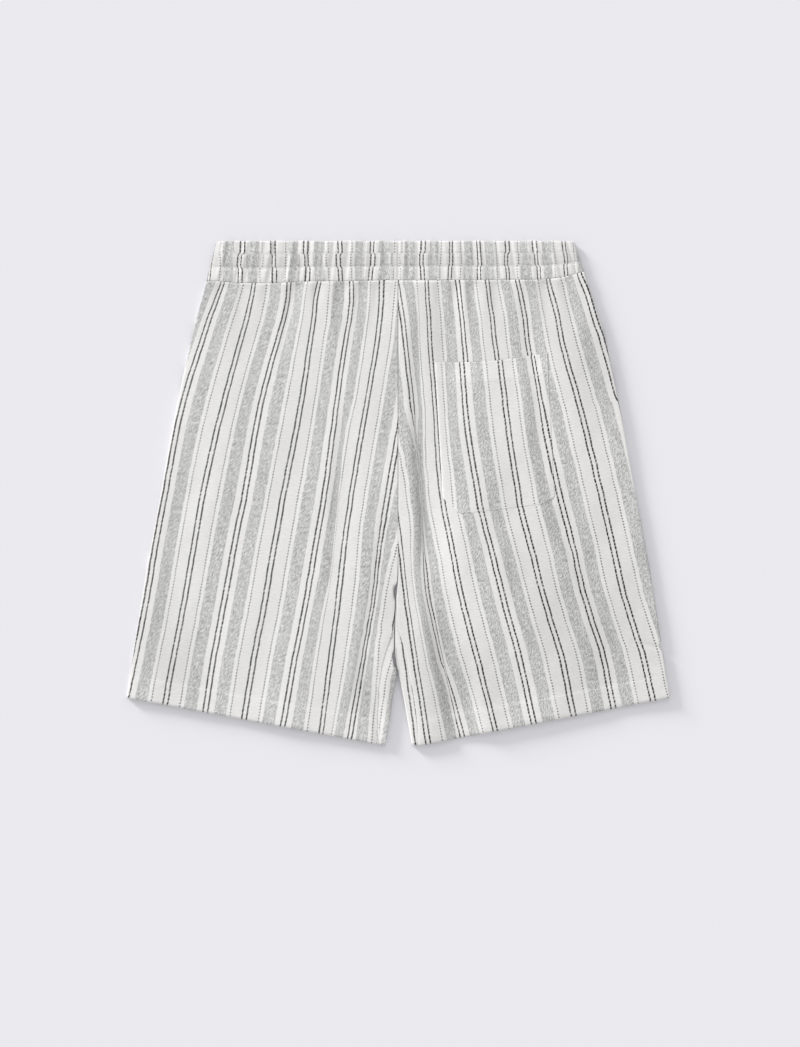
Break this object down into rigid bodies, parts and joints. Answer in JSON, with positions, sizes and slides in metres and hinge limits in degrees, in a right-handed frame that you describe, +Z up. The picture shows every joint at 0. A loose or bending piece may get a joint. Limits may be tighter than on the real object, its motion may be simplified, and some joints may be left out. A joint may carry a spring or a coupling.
{
  "type": "bermuda shorts",
  "caption": "Wide-leg bermuda shorts with an elasticated waistband and a back patch pocket, laid flat with the back uppermost.",
  "frame": {"origin": "on the surface that the shorts lie on, under the middle of their outline", "axes": "+X across the shorts, to the right as seen from above; +Y from the hems up to the waistband; +Z up, off the surface"},
  "size_m": [0.5752, 0.534, 0.0082],
  "materials": {
    "striped_cloth": "matt off-white plain weave with lengthways grey stripes",
    "sewing_thread": "matt off-white sewing thread"
  },
  "bodies": {
    "root": {"back_left_panel": "striped_cloth", "back_right_panel": "striped_cloth", "front_left_panel": "striped_cloth", "front_right_panel": "striped_cloth", "back_pocket": "striped_cloth", "waistband": "striped_cloth"}
  },
  "joints": []
}
